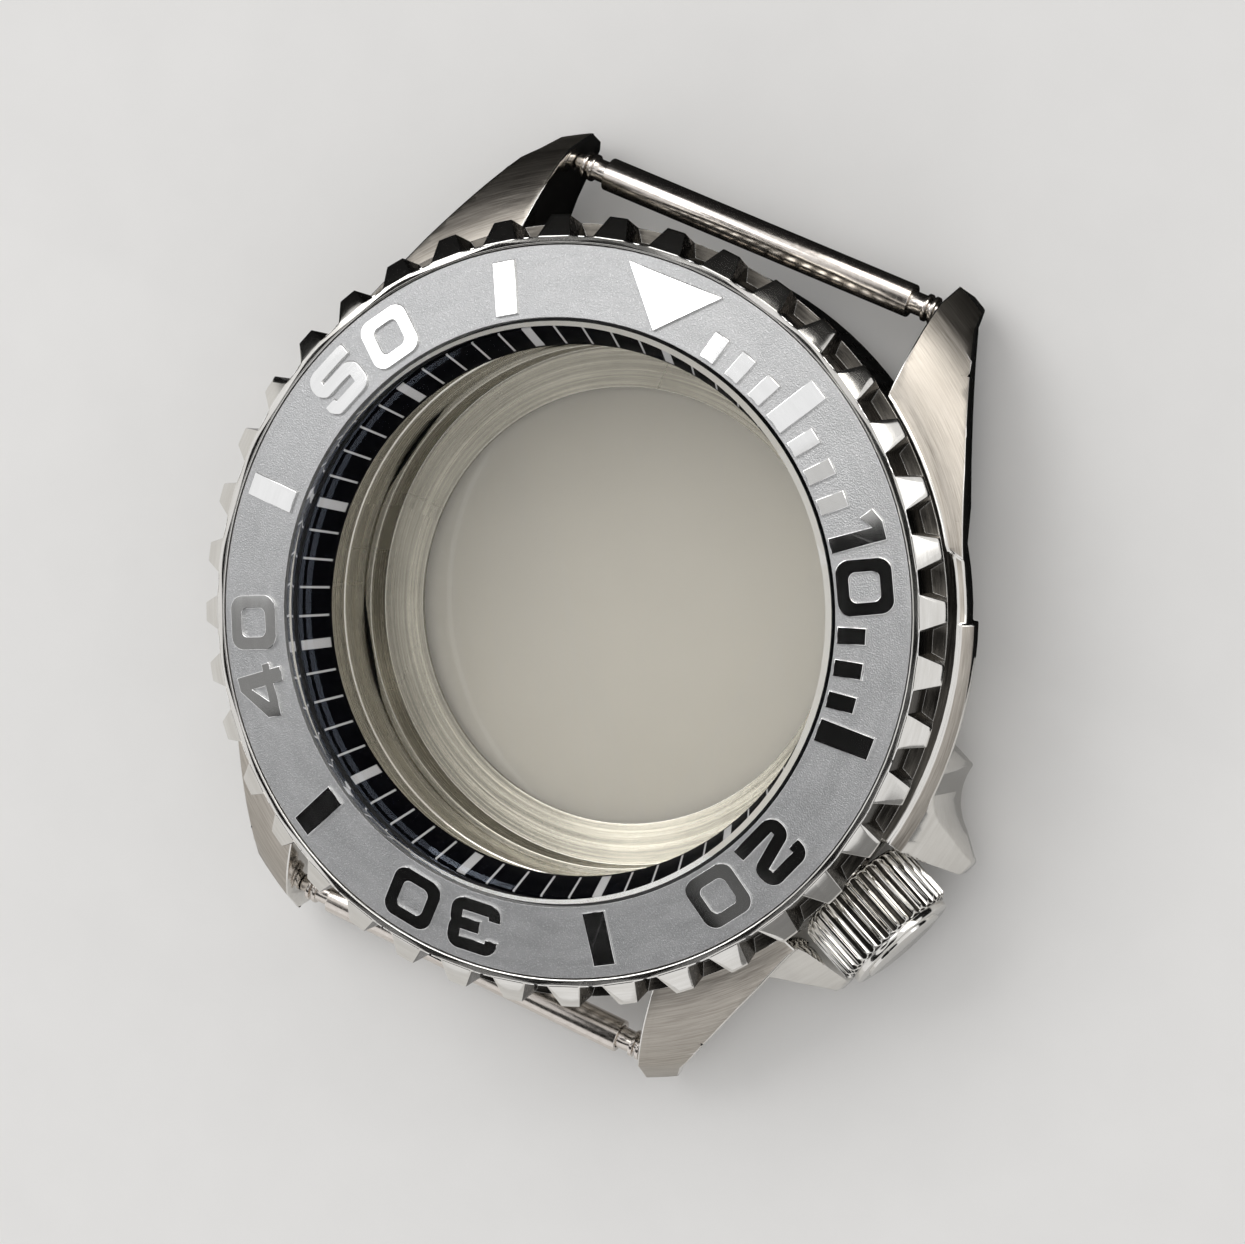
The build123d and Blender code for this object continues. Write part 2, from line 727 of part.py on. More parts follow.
with BuildPart() as insert_marks:
    with BuildSketch(Plane.XY.offset(mark_floor)):
        with Locations(*[mark_spot(minute * minute_angle, mark_middle) for minute in bar_minutes]):
            Rectangle(long_bar_width, mark_length)
        with Locations(*[mark_spot(minute * minute_angle, short_middle) for minute in short_minutes]):
            Rectangle(short_bar_width, short_bar_length)
        with Locations(mark_spot(0, 0)):
            Polygon(
                (0, mark_inner),
                (triangle_width / 2, mark_outer),
                (-triangle_width / 2, mark_outer),
                align=None,
            )
        for minute, zero_lean in ten_leans.items():
            for glyph, lean in ((str(minute // 10), -digit_turn), ("0", zero_lean)):
                with Locations(mark_spot(minute * minute_angle + lean, mark_middle)):
                    add(digit_sketches[glyph])
    extrude(amount=mark_ceiling - mark_floor)
    # Keep only a thin layer along the insert's sloping top
    with BuildSketch(Plane.XZ):
        Polygon(
            (insert_bore - overrun, insert_height(insert_bore - overrun) + mark_relief),
            (recess_radius + overrun, insert_height(recess_radius + overrun) + mark_relief),
            (recess_radius + overrun, mark_ceiling + overrun),
            (insert_bore - overrun, mark_ceiling + overrun),
            align=None,
        )
    revolve(axis=Axis.Z, mode=Mode.SUBTRACT)
    with BuildSketch(Plane.XZ):
        Polygon(
            (insert_bore - overrun, mark_floor - overrun),
            (recess_radius + overrun, mark_floor - overrun),
            (recess_radius + overrun, insert_height(recess_radius + overrun) - mark_relief),
            (insert_bore - overrun, insert_height(insert_bore - overrun) - mark_relief),
            align=None,
        )
    revolve(axis=Axis.Z, mode=Mode.SUBTRACT)

with BuildPart() as bezel_insert:
    with BuildSketch(Plane.XZ):
        Polygon(
            (insert_bore, insert_height(insert_bore) - insert_thickness),
            (insert_radius, insert_height(insert_radius) - insert_thickness),
            (insert_radius, insert_height(insert_radius)),
            (insert_bore, insert_height(insert_bore)),
            align=None,
        )
    revolve(axis=Axis.Z)
    add(insert_marks.part)
bezel_insert.part.label = "bezel_insert"
export_step(bezel_insert.part, "parts/bezel_insert.step")

# Bezel seal, half in the neck's groove and half in the bezel's
with BuildPart() as bezel_gasket:
    with BuildSketch(Plane.XZ):
        Polygon(
            (seal_groove_inner + bezel_seal_play, seal_low + bezel_seal_play),
            (seal_groove_outer - bezel_seal_play, seal_low + bezel_seal_play),
            (seal_groove_outer - bezel_seal_play, seal_high - bezel_seal_play),
            (seal_groove_inner + bezel_seal_play, seal_high - bezel_seal_play),
            align=None,
        )
    revolve(axis=Axis.Z)
bezel_gasket.part.label = "bezel_gasket"
export_step(bezel_gasket.part, "parts/bezel_gasket.step")

# Click spring: a flat arc in its channel, with a tongue that stands in one click notch
channel_floor = deck - click_channel_depth
tongue_top = bezel_bottom + click_depth - click_tongue_play
tongue_half = click_width / 2 - click_tongue_play

with BuildPart() as click_spring:
    with BuildSketch(Plane.XZ):
        Polygon(
            (click_inner, channel_floor),
            (click_outer, channel_floor),
            (click_outer, channel_floor + click_spring_thickness),
            (click_inner, channel_floor + click_spring_thickness),
            align=None,
        )
    revolve(axis=Axis.Z, revolution_arc=click_spring_arc)
    with BuildSketch(Plane.XY.offset(channel_floor)):
        with PolarLocations(track_middle, 1, start_angle=90 + bezel_set_angle):
            Rectangle(click_track_width - 2 * click_channel_play, 2 * tongue_half)
    extrude(amount=tongue_top - channel_floor)
click_spring.part.label = "click_spring"
export_step(click_spring.part, "parts/click_spring.step")

# Crown tube: pressed into the flank, with the screw thread's outside on its outer half
tube_start = movement_radius + ring_play

with BuildPart() as crown_tube:
    with BuildSketch(crown_plane(tube_start)):
        Circle(tube_radius)
    extrude(amount=tube_end - tube_start)
    with BuildSketch(crown_plane(recess_reach)):
        Circle(thread_radius)
    extrude(amount=tube_end - recess_reach)
    with BuildSketch(crown_plane(tube_start)):
        Circle(tube_bore_diameter / 2)
    extrude(amount=tube_end - tube_start, mode=Mode.SUBTRACT)
crown_tube.part.label = "crown_tube"
export_step(crown_tube.part, "parts/crown_tube.step")

# Crown shell: a fluted cap with a plain stepped end
flute_half = flute_diameter / 2
cap_end = grip_end + crown_cap_length
sleeve_radius = sleeve_diameter / 2

with BuildPart() as crown_shell:
    with BuildSketch(crown_plane(crown_base)):
        Circle(crown_radius)
    extrude(amount=crown_grip_length)
    chamfer(crown_shell.edges().filter_by(GeomType.CIRCLE), crown_end_chamfer)
    # The flutes run out on the chamfers at both ends of the grip
    with BuildSketch(crown_plane(crown_base)):
        with PolarLocations(crown_radius, flute_count):
            Circle(flute_half)
    extrude(amount=crown_grip_length, mode=Mode.SUBTRACT)
    with BuildSketch(crown_plane(grip_end)):
        Circle(crown_cap_diameter / 2)
    extrude(amount=crown_cap_length)
    with BuildSketch(crown_plane(cap_end)):
        Circle(crown_disc_diameter / 2)
    extrude(amount=crown_disc_length)
    # Bore for the threaded sleeve, and the spring chamber behind it
    with BuildSketch(crown_plane(crown_base)):
        Circle(sleeve_radius)
    extrude(amount=sleeve_end - crown_base, mode=Mode.SUBTRACT)
    with BuildSketch(crown_plane(sleeve_end)):
        Circle(chamber_radius)
    extrude(amount=chamber_end - sleeve_end, mode=Mode.SUBTRACT)
crown_shell.part.label = "crown_shell"
export_step(crown_shell.part, "parts/crown_shell.step")

# Sleeve pressed into the crown: it runs on the tube's thread and keeps the core's head in
with BuildPart() as crown_sleeve:
    with BuildSketch(crown_plane(crown_base)):
        Circle(sleeve_radius)
    extrude(amount=sleeve_end - crown_base)
    with BuildSketch(crown_plane(crown_base)):
        Circle(thread_radius + thread_play)
    extrude(amount=washer_end - crown_base, mode=Mode.SUBTRACT)
    with BuildSketch(crown_plane(washer_end)):
        Circle(core_radius + core_head_play)
    extrude(amount=sleeve_end - washer_end, mode=Mode.SUBTRACT)
crown_sleeve.part.label = "crown_sleeve"
export_step(crown_sleeve.part, "parts/crown_sleeve.step")

# Flat washer that the crown presses on the tube's end
with BuildPart() as crown_washer:
    with BuildSketch(crown_plane(tube_end)):
        Circle(thread_radius)
        Circle(core_radius + core_head_play, mode=Mode.SUBTRACT)
    extrude(amount=crown_washer_thickness)
crown_washer.part.label = "crown_washer"
export_step(crown_washer.part, "parts/crown_washer.step")

# Core: the shaft through the tube that takes the stem, with its head in the crown
core_start = movement_radius
core_seal_radius = core_radius - core_seal_groove

with BuildPart() as crown_core:
    with BuildSketch(crown_plane(core_start)):
        Circle(core_radius)
    extrude(amount=sleeve_end + core_head_play - core_start)
    with BuildSketch(crown_plane(sleeve_end + core_head_play)):
        Circle(head_radius)
    extrude(amount=core_head_length - core_head_play)
    # Grooves for two seals
    for reach in core_seal_reaches:
        with BuildSketch(crown_plane(reach)):
            Circle(core_radius + core_play)
            Circle(core_seal_radius, mode=Mode.SUBTRACT)
        extrude(amount=core_seal_width, mode=Mode.SUBTRACT)
    # Socket for the winding stem, ending in the drill's point
    with BuildSketch(crown_plane(core_start)):
        Circle(stem_socket_diameter / 2)
    extrude(amount=stem_socket_depth, mode=Mode.SUBTRACT)
    with BuildSketch(crown_plane(core_start + stem_socket_depth)):
        Circle(stem_socket_diameter / 2)
    extrude(amount=stem_point_depth, taper=stem_point_angle, mode=Mode.SUBTRACT)
crown_core.part.label = "crown_core"
export_step(crown_core.part, "parts/crown_core.step")

# Two seals on the core
with BuildPart() as core_seals:
    for reach in core_seal_reaches:
        with BuildSketch(crown_plane(reach + core_seal_play)):
            Circle(core_radius + core_play - core_seal_play)
            Circle(core_seal_radius + core_seal_play, mode=Mode.SUBTRACT)
        extrude(amount=core_seal_width - 2 * core_seal_play)
core_seals.part.label = "core_seals"
export_step(core_seals.part, "parts/core_seals.step")

# Spring in the crown, between the core's head and the cap, as a plain sleeve of its outer size
spring_radius = head_radius - core_head_play

with BuildPart() as crown_spring:
    with BuildSketch(crown_plane(head_end)):
        Circle(spring_radius)
        Circle(spring_radius - crown_spring_wall, mode=Mode.SUBTRACT)
    extrude(amount=chamber_end - head_end)
crown_spring.part.label = "crown_spring"
export_step(crown_spring.part, "parts/crown_spring.step")

# Case back: a flange, a threaded collar, a floor and a lip over the window
back_flange_radius = back_flange_diameter / 2
collar_inner = back_collar_radius - back_collar_wall

with BuildPart() as case_back:
    with BuildSketch(Plane.XZ):
        Polygon(
            (back_glass_bore, 0),
            (back_flange_radius - back_flange_chamfer, 0),
            (back_flange_radius, back_flange_chamfer),
            (back_flange_radius, back_flange_height),
            (back_collar_radius, back_flange_height),
            (back_collar_radius, collar_top),
            (collar_inner, collar_top),
            (collar_inner, back_floor_height),
            (window_radius, back_floor_height),
            (window_radius, back_glass_thickness),
            (back_glass_bore, back_glass_thickness),
            align=None,
        )
    revolve(axis=Axis.Z)
    # Notches for the case key
    with BuildSketch():
        with PolarLocations(back_flange_radius - key_notch_length / 2, key_notch_count):
            Rectangle(key_notch_length, key_notch_width)
    extrude(amount=key_notch_depth, mode=Mode.SUBTRACT)
case_back.part.label = "case_back"
export_step(case_back.part, "parts/case_back.step")

# Window of the case back
with BuildPart() as back_glass:
    with BuildSketch():
        Circle(back_glass_radius)
    extrude(amount=back_glass_thickness)
back_glass.part.label = "back_glass"
export_step(back_glass.part, "parts/back_glass.step")

# Gasket round the window
with BuildPart() as back_glass_gasket:
    with BuildSketch(Plane.XY.offset(back_seal_play)):
        Circle(back_glass_bore)
        Circle(back_glass_radius, mode=Mode.SUBTRACT)
    extrude(amount=back_glass_thickness - back_seal_play)
back_glass_gasket.part.label = "back_glass_gasket"
export_step(back_glass_gasket.part, "parts/back_glass_gasket.step")

# Seal between the case back and the middle
with BuildPart() as back_seal:
    with BuildSketch(Plane.XZ):
        with Locations((back_seal_radius, case_floor + back_seal_half + back_seal_play / 2)):
            Circle(back_seal_half)
    revolve(axis=Axis.Z)
back_seal.part.label = "back_seal"
export_step(back_seal.part, "parts/back_seal.step")

# Spring bars: a tube with turned-in ends, two flanged pins and a spring between their heads
bar_radius = bar_tube_diameter / 2
bar_bore = bar_bore_diameter / 2
pin_shaft = pin_shaft_diameter / 2
pin_head = bar_bore - pin_play
lip_start = bar_half - bar_lip_length
head_outer = lip_start - pin_play
head_inner = head_outer - pin_head_length
flange_start = bar_half + pin_travel
flange_gap_start = flange_start + pin_flange_width
flange_second = flange_gap_start + pin_flange_width
tip_end = lug_face + pin_tip_length


def bar_plane(reach, end, side=1):
    """Plane square to a spring bar, this far from its middle, at 12 (end 1) or 6 o'clock (end -1)."""
    return Plane(origin=(side * reach, end * bar_reach, bar_height), x_dir=(0, side, 0), z_dir=(side, 0, 0))


for place, end in (("12", 1), ("6", -1)):
    with BuildPart() as bar_tube:
        with BuildSketch(bar_plane(-bar_half, end)):
            Circle(bar_radius)
            Circle(pin_shaft + pin_play, mode=Mode.SUBTRACT)
        extrude(amount=2 * bar_half)
        with BuildSketch(bar_plane(-lip_start, end)):
            Circle(bar_bore)
        extrude(amount=2 * lip_start, mode=Mode.SUBTRACT)
    bar_tube.part.label = "bar_" + place + "_tube"
    export_step(bar_tube.part, "parts/bar_" + place + "_tube.step")

    with BuildPart() as bar_spring:
        with BuildSketch(bar_plane(-head_inner, end)):
            Circle(bar_spring_diameter / 2)
            Circle(bar_spring_bore / 2, mode=Mode.SUBTRACT)
        extrude(amount=2 * head_inner)
    bar_spring.part.label = "bar_" + place + "_spring"
    export_step(bar_spring.part, "parts/bar_" + place + "_spring.step")

    for hand, side in (("right", 1), ("left", -1)):
        with BuildPart() as bar_pin:
            with BuildSketch(bar_plane(head_inner, end, side)):
                Circle(pin_head)
            extrude(amount=pin_head_length)
            with BuildSketch(bar_plane(head_outer, end, side)):
                Circle(pin_shaft)
            extrude(amount=flange_start - head_outer)
            with BuildSketch(bar_plane(flange_start, end, side)):
                Circle(pin_waist_diameter / 2)
            extrude(amount=lug_face - flange_start)
            with BuildSketch(bar_plane(flange_start, end, side)):
                Circle(pin_flange_diameter / 2)
            extrude(amount=pin_flange_width)
            with BuildSketch(bar_plane(flange_second, end, side)):
                Circle(pin_flange_diameter / 2)
            extrude(amount=pin_flange_width)
            with BuildSketch(bar_plane(lug_face, end, side)):
                Circle(pin_tip_diameter / 2)
            extrude(amount=pin_tip_length - pin_tip_chamfer)
            with BuildSketch(bar_plane(tip_end - pin_tip_chamfer, end, side)):
                Circle(pin_tip_diameter / 2 - pin_tip_chamfer)
            extrude(amount=pin_tip_chamfer)
        bar_pin.part.label = "bar_" + place + "_" + hand + "_pin"
        export_step(bar_pin.part, "parts/bar_" + place + "_" + hand + "_pin.step")
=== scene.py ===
# Empty diver's watch case in a small photo studio. The camera's and the studio's lengths are metres, those
# of finishes and pieces millimetres, and angles are degrees.
import bpy
import json
from math import cos, hypot, pi, radians, sin
from mathutils import Matrix, Vector

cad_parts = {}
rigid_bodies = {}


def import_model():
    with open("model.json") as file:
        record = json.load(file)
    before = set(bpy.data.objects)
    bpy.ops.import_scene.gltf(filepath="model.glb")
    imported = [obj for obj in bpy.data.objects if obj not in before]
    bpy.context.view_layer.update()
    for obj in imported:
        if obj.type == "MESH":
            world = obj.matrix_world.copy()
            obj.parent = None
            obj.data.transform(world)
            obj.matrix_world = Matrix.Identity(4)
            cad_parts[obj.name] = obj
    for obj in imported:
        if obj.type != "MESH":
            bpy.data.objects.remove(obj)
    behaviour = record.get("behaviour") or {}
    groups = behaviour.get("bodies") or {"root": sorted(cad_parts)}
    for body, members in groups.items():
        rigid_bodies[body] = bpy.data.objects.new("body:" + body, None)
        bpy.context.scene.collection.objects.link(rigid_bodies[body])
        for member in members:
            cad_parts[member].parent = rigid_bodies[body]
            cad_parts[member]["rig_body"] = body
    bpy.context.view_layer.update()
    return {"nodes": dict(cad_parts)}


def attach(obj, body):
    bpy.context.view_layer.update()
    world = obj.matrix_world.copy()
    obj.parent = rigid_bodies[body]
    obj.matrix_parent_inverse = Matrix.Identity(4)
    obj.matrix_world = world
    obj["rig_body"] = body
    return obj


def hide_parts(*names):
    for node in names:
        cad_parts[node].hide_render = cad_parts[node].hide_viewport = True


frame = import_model()
cadNodes = frame["nodes"]
mm = 0.001
print("stage 1: frame loaded,", len(cadNodes), "nodes")

# Camera, matched to the bezel, the minute ring and the bars of the photograph

photoCamera = {
    "place": (0.0743082, 0.0406743, 0.2306408),
    "right": (0.86737966, 0.35756002, -0.34612621),
    "up": (-0.39412501, 0.91822447, -0.03910615),
    "lens": 131.07,
    "sensor": 36.0,
    "clip": (0.02, 5.0),
}


def placeCamera(look):
    data = bpy.data.cameras.new("photoCamera")
    camera = bpy.data.objects.new("photoCamera", data)
    bpy.context.scene.collection.objects.link(camera)
    right = Vector(look["right"]).normalized()
    up = Vector(look["up"]).normalized()
    back = right.cross(up)
    turn = Matrix((right, up, back)).transposed().to_4x4()
    camera.matrix_world = Matrix.Translation(look["place"]) @ turn
    data.sensor_width = look["sensor"]
    data.lens = look["lens"]
    data.clip_start, data.clip_end = look["clip"]
    bpy.context.scene.camera = camera


placeCamera(photoCamera)
print("stage 2: camera")

# Studio: a pale floor and surroundings, two soft lights, and cards, mostly dark, that only mirrors see.
# Azimuths run clockwise from 12 o'clock, seen from above. A card is swept about an upright axis, from one
# (reach, height) to another. What passes through glass sees a card only where throughGlass is set.

crystalSide = (-0.18, -0.11)  # where flat faces mirror the sky towards the camera, at the cards' height
caseSide = (0.0, 0.0)  # round the case itself, for its upright faces

studio = {
    "floorColour": (0.78, 0.77, 0.75),
    "floorSize": 6.0,
    "floorGrain": 240.0,
    "floorDip": 0.98,
    "floorRoughness": 0.75,
    "skyColour": (0.93, 0.93, 0.94),
    "seenStrength": 1.0,
    "lightStrength": 0.82,
    "softboxes": [
        {"azimuth": 300, "elevation": 52, "distance": 0.55, "size": 0.34, "power": 0.80},
        {"azimuth": 48, "elevation": 26, "distance": 0.6, "size": 0.16, "power": 0.10},
    ],
    "cards": [
        {"name": "cardPaleMarks", "middle": crystalSide, "azimuth": (38, 51), "shade": 0.86,
         "rims": ((0.19, 0.45), (0.35, 0.45))},
        {"name": "cardMarks", "middle": crystalSide, "azimuth": (51, 111), "shade": 0.012,
         "rims": ((0.19, 0.45), (0.35, 0.45))},
        {"name": "cardGrey", "middle": crystalSide, "azimuth": (111, 121), "shade": 0.16,
         "rims": ((0.19, 0.45), (0.35, 0.45))},
        {"name": "cardLowMarks", "middle": crystalSide, "azimuth": (121, 231), "shade": 0.012,
         "rims": ((0.19, 0.45), (0.52, 0.45))},
        {"name": "cardLeftMarks", "middle": crystalSide, "azimuth": (231, 252), "shade": 0.36,
         "rims": ((0.19, 0.45), (0.42, 0.45))},
        {"name": "cardCrystal", "middle": (-0.158, -0.066), "azimuth": (0, 360), "shade": 0.01,
         "rims": ((0.0, 0.45), (0.085, 0.45)), "throughGlass": True},
        {"name": "cardUpperLug", "middle": crystalSide, "azimuth": (338, 368), "shade": 0.05,
         "rims": ((0.05, 0.451), (0.235, 0.451))},
        {"name": "cardUnder", "middle": (0.0, 0.005), "azimuth": (270, 450), "shade": 0.012,
         "rims": ((0.0, 0.0004), (0.45, 0.0004))},
        {"name": "cardBack", "middle": caseSide, "azimuth": (285, 384), "shade": 0.02,
         "rims": ((0.45, 0.0), (0.40, 0.30))},
        {"name": "cardBackLow", "middle": caseSide, "azimuth": (384, 445), "shade": 0.02,
         "rims": ((0.45, 0.0), (0.45, 0.07))},
        {"name": "cardSide", "middle": caseSide, "azimuth": (106, 146), "shade": 0.30,
         "rims": ((0.45, 0.0), (0.45, 0.20))},
        {"name": "cardBright", "middle": caseSide, "azimuth": (352, 398), "shade": 0.9,
         "rims": ((0.42, 0.20), (0.30, 0.46)), "glow": 3.0},
    ],
    "cardSteps": 36,
    "glowColour": (1.0, 0.98, 0.95, 1.0),
}


def deselectAll():
    for other in bpy.context.selected_objects:
        other.select_set(False)


def makeActive(piece):
    deselectAll()
    piece.select_set(True)
    bpy.context.view_layer.objects.active = piece


def directionTo(azimuth, elevation):
    level = cos(radians(elevation))
    return Vector((sin(radians(azimuth)) * level, cos(radians(azimuth)) * level, sin(radians(elevation))))


def addNode(tree, kind, inputs=None, **settings):
    made = tree.nodes.new(kind)
    for name, value in settings.items():
        setattr(made, name, value)
    for name, value in (inputs or {}).items():
        if isinstance(value, bpy.types.NodeSocket):
            tree.links.new(value, made.inputs[name])
        else:
            made.inputs[name].default_value = value
    return made


noiseSpread = (0.3, 0.7)  # where most of a noise lies


def calc(tree, operation, *values, clamp=False):
    inputs = {place: value for place, value in enumerate(values)}
    return addNode(tree, "ShaderNodeMath", inputs, operation=operation, use_clamp=clamp).outputs[0]


def remap(tree, value, low, high, newLow=0.0, newHigh=1.0, soft=False):
    inputs = {"Value": value, "From Min": low, "From Max": high, "To Min": newLow, "To Max": newHigh}
    style = "SMOOTHSTEP" if soft else "LINEAR"
    return addNode(tree, "ShaderNodeMapRange", inputs, interpolation_type=style).outputs[0]


def mixColour(tree, factor, first, second):
    # Inputs 6 and 7 of the mixer are its two colours, and output 2 is the mixed one
    mixer = addNode(tree, "ShaderNodeMix", data_type="RGBA")
    for place, value in ((0, factor), (6, first), (7, second)):
        if isinstance(value, bpy.types.NodeSocket):
            tree.links.new(value, mixer.inputs[place])
        elif place == 0:
            mixer.inputs[place].default_value = value
        else:
            mixer.inputs[place].default_value = (*value, 1.0)
    return mixer.outputs[2]


def floorMaterial(look):
    material = bpy.data.materials.new("floorPaper")
    material.use_nodes = True
    tree = material.node_tree
    shader = tree.nodes["Principled BSDF"]
    place = addNode(tree, "ShaderNodeTexCoord").outputs["Object"]
    inputs = {"Vector": place, "Scale": look["floorGrain"], "Detail": 3.0}
    grain = addNode(tree, "ShaderNodeTexNoise", inputs).outputs["Fac"]
    dip = [part * look["floorDip"] for part in look["floorColour"]]
    colour = mixColour(tree, remap(tree, grain, *noiseSpread), dip, look["floorColour"])
    tree.links.new(colour, shader.inputs["Base Color"])
    shader.inputs["Roughness"].default_value = look["floorRoughness"]
    return material


def layFloor(look):
    deselectAll()
    bpy.ops.mesh.primitive_plane_add(size=look["floorSize"], location=(0, 0, 0))
    floor = bpy.context.active_object
    floor.name = "studioFloor"
    floor.data.materials.append(floorMaterial(look))


def lightSky(look):
    # Camera, mirrors and glass see the sky at one strength, and it lights the scene at another
    world = bpy.data.worlds.new("studioSky")
    bpy.context.scene.world = world
    world.use_nodes = True
    tree = world.node_tree
    background = tree.nodes["Background"]
    rays = addNode(tree, "ShaderNodeLightPath").outputs
    seen = calc(tree, "MAXIMUM", rays["Is Camera Ray"], rays["Is Glossy Ray"])
    seen = calc(tree, "MAXIMUM", seen, rays["Is Transmission Ray"])
    background.inputs["Color"].default_value = (*look["skyColour"], 1.0)
    strength = remap(tree, seen, 0.0, 1.0, look["lightStrength"], look["seenStrength"])
    tree.links.new(strength, background.inputs["Strength"])


def hangSoftbox(name, box):
    lamp = bpy.data.lights.new(name, "AREA")
    lamp.shape = "SQUARE"
    lamp.size = box["size"]
    lamp.energy = box["power"]
    holder = bpy.data.objects.new(name, lamp)
    bpy.context.scene.collection.objects.link(holder)
    way = directionTo(box["azimuth"], box["elevation"])
    holder.location = way * box["distance"]
    holder.rotation_euler = way.to_track_quat("Z", "Y").to_euler()


def feltMaterial(card, glowColour):
    material = bpy.data.materials.new(card["name"] + "Felt")
    material.use_nodes = True
    shader = material.node_tree.nodes["Principled BSDF"]
    shader.inputs["Base Color"].default_value = (card["shade"], card["shade"], card["shade"], 1.0)
    shader.inputs["Roughness"].default_value = 1.0
    shader.inputs["Specular IOR Level"].default_value = 0.0
    shader.inputs["Emission Color"].default_value = glowColour
    shader.inputs["Emission Strength"].default_value = card.get("glow", 0.0)
    return material


def standCard(card, look):
    deselectAll()
    bpy.ops.mesh.primitive_grid_add(x_subdivisions=look["cardSteps"], y_subdivisions=2, size=1.0)
    sheet = bpy.context.active_object
    sheet.name = card["name"]
    middle = Vector((*card["middle"], 0.0))
    nearRim, farRim = (Vector(rim) for rim in card["rims"])
    for vertex in sheet.data.vertices:
        across, outward = vertex.co.x + 0.5, vertex.co.y + 0.5  # both from 0 to 1
        azimuth = card["azimuth"][0] + across * (card["azimuth"][1] - card["azimuth"][0])
        reach, height = nearRim.lerp(farRim, outward)
        vertex.co = middle + directionTo(azimuth, 0.0) * reach + Vector((0, 0, height))
    sheet.data.materials.append(feltMaterial(card, look["glowColour"]))
    sheet.visible_camera = False
    sheet.visible_diffuse = False
    sheet.visible_transmission = card.get("throughGlass", False)
    sheet.visible_volume_scatter = False
    sheet.visible_shadow = False


def buildStudio(look):
    layFloor(look)
    lightSky(look)
    for number, box in enumerate(look["softboxes"]):
        hangSoftbox("softbox" + str(number), box)
    for card in look["cards"]:
        standCard(card, look)


buildStudio(studio)
bpy.context.scene.view_settings.view_transform = "Standard"
print("stage 3: studio")

# Effects that several finishes share


def newGroup(name, inputs, outputs):
    group = bpy.data.node_groups.new(name, "ShaderNodeTree")
    for label, kind in inputs:
        group.interface.new_socket(label, in_out="INPUT", socket_type="NodeSocket" + kind)
    for label, kind in outputs:
        group.interface.new_socket(label, in_out="OUTPUT", socket_type="NodeSocket" + kind)
    start = group.nodes.new("NodeGroupInput")
    end = group.nodes.new("NodeGroupOutput")
    return group, start.outputs, end.inputs


def makePolarPlace():
    # Radius, height and angle about the middle of the case, the angle in radians from 3 o'clock
    group, start, end = newGroup("polarPlace", [("Vector", "Vector")],
                                 [("Radius", "Float"), ("Angle", "Float"), ("Height", "Float")])
    split = addNode(group, "ShaderNodeSeparateXYZ", {"Vector": start["Vector"]}).outputs
    squares = calc(group, "ADD", calc(group, "MULTIPLY", split["X"], split["X"]),
                   calc(group, "MULTIPLY", split["Y"], split["Y"]))
    radius = calc(group, "MULTIPLY", calc(group, "SQRT", squares), 1 / mm)
    group.links.new(radius, end["Radius"])
    group.links.new(calc(group, "ARCTAN2", split["Y"], split["X"]), end["Angle"])
    group.links.new(calc(group, "MULTIPLY", split["Z"], 1 / mm), end["Height"])
    return group


def makeRingGrain(polarPlace):
    # Fine lines that run round the case, as left by a brush or a lathe
    inputs = [("Vector", "Vector"), ("Fineness", "Float"), ("Sweep", "Float")]
    group, start, end = newGroup("ringGrain", inputs, [("Grain", "Float")])
    polar = addNode(group, "ShaderNodeGroup", node_tree=polarPlace)
    group.links.new(start["Vector"], polar.inputs["Vector"])
    across = calc(group, "MULTIPLY", polar.outputs["Radius"], start["Fineness"])
    along = calc(group, "MULTIPLY", polar.outputs["Angle"], start["Sweep"])
    upward = calc(group, "MULTIPLY", polar.outputs["Height"], start["Fineness"])
    place = addNode(group, "ShaderNodeCombineXYZ", {"X": across, "Y": along, "Z": upward})
    inputs = {"Vector": place.outputs[0], "Scale": 1.0, "Detail": 4.0, "Roughness": 0.65}
    noise = addNode(group, "ShaderNodeTexNoise", inputs)
    group.links.new(noise.outputs["Fac"], end["Grain"])
    return group


handlingLook = {
    "smudgeScale": 160.0, "smudgeRange": (0.35, 0.7),
    "scratchRange": (0.69, 0.74),
    # Turn in degrees and stretch of the noise behind each family of scratches
    "scratchWays": (((20, 35, 10), (60, 2600, 60)), ((-50, 15, 70), (3000, 50, 80))),
}


def makeHandling(look):
    # Soft smudges, and thin scratches in all directions
    group, start, end = newGroup("handling", [("Vector", "Vector"), ("Scratches", "Float")],
                                 [("Smudge", "Float"), ("Scratch", "Float")])
    inputs = {"Vector": start["Vector"], "Scale": look["smudgeScale"], "Detail": 5.0, "Roughness": 0.55,
              "Distortion": 0.6}
    smudge = addNode(group, "ShaderNodeTexNoise", inputs)
    group.links.new(remap(group, smudge.outputs["Fac"], *look["smudgeRange"]), end["Smudge"])
    total = None
    for turn, stretch in look["scratchWays"]:
        turned = [radians(angle) for angle in turn]
        inputs = {"Vector": start["Vector"], "Scale": stretch, "Rotation": turned}
        mapping = addNode(group, "ShaderNodeMapping", inputs)
        inputs = {"Vector": mapping.outputs[0], "Scale": 1.0, "Detail": 2.0}
        lines = addNode(group, "ShaderNodeTexNoise", inputs)
        line = remap(group, lines.outputs["Fac"], *look["scratchRange"], soft=True)
        total = line if total is None else calc(group, "MAXIMUM", total, line)
    group.links.new(calc(group, "MULTIPLY", total, start["Scratches"], clamp=True), end["Scratch"])
    return group


edgeRange = (0.995, 0.93)  # cosine of the angle between the face and its rounded self


